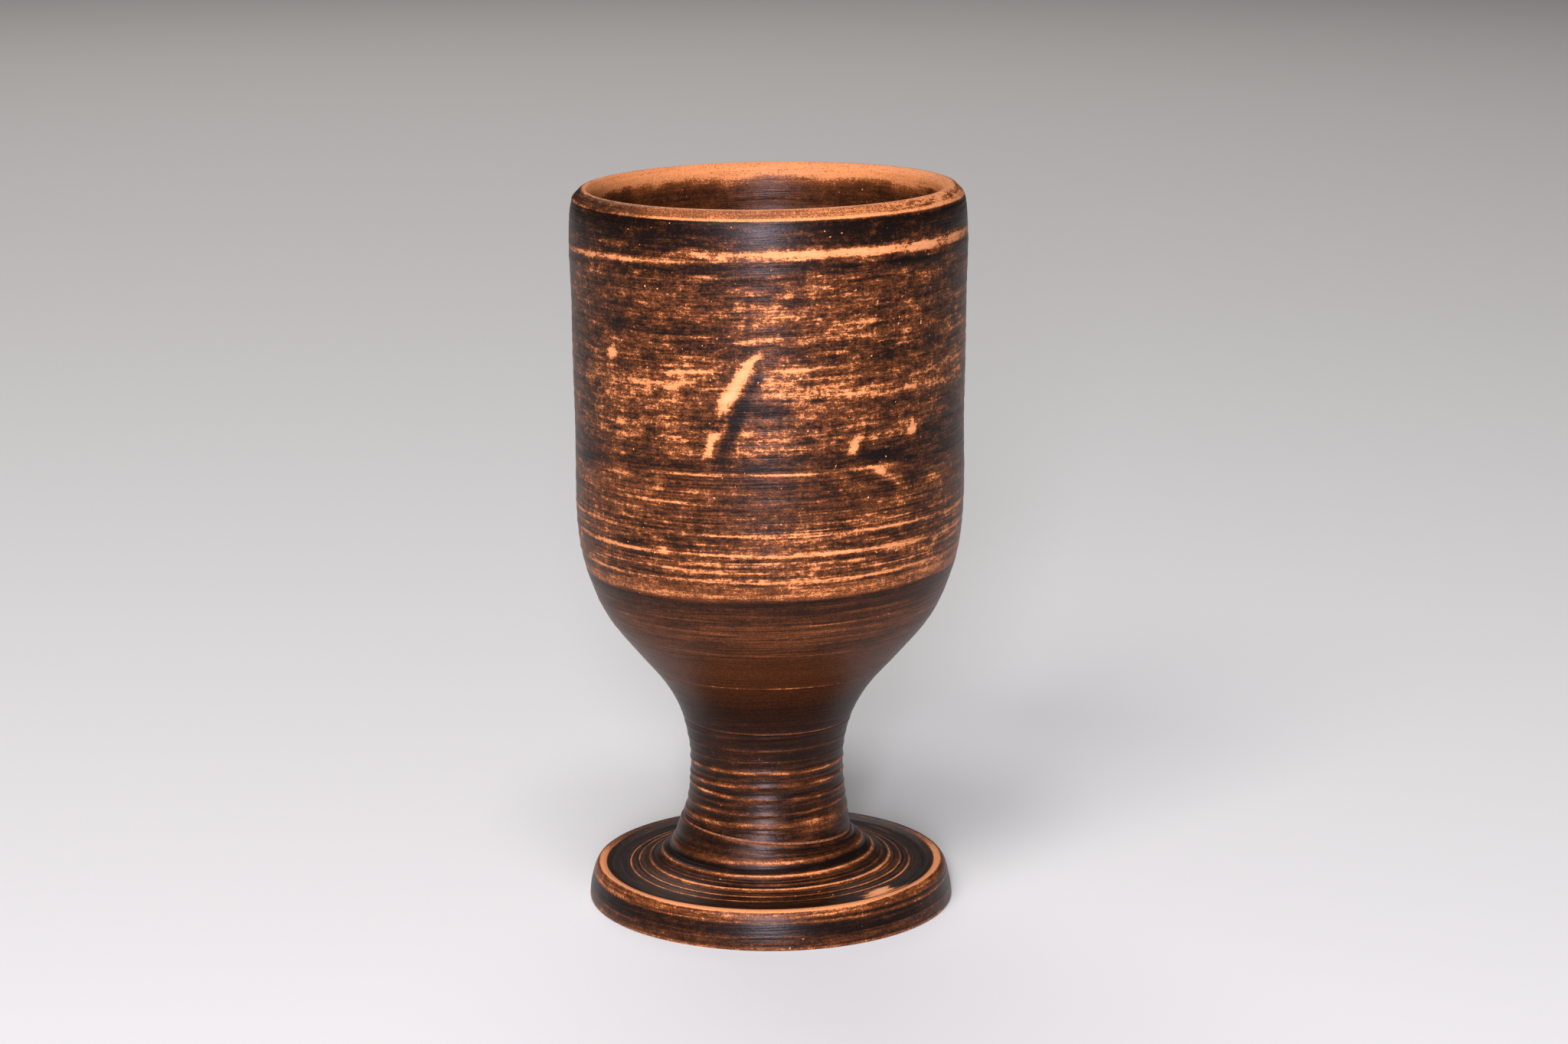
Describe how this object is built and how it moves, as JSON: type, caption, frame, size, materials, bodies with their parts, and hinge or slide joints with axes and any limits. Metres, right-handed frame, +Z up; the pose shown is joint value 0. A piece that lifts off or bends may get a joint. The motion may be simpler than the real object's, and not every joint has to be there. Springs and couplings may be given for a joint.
{
  "type": "chalice",
  "caption": "Wheel-thrown red-clay drinking chalice: a deep straight-sided cup on a waisted hollow stem and a flat ringed foot, luted together with slip.",
  "frame": {"origin": "centre of the standing face, on the turning axis", "axes": "+Z up along the turning axis; -Y towards the side with the bright slanting bare patch"},
  "size_m": [0.0814, 0.0814, 0.15],
  "materials": {
    "coated_clay": "satin",
    "bare_clay": "matte"
  },
  "bodies": {
    "root": {"bowl": "coated_clay", "joint_coil": "coated_clay", "upper_slip": "bare_clay", "stem": "coated_clay", "lower_slip": "bare_clay", "foot": "coated_clay"}
  },
  "joints": []
}
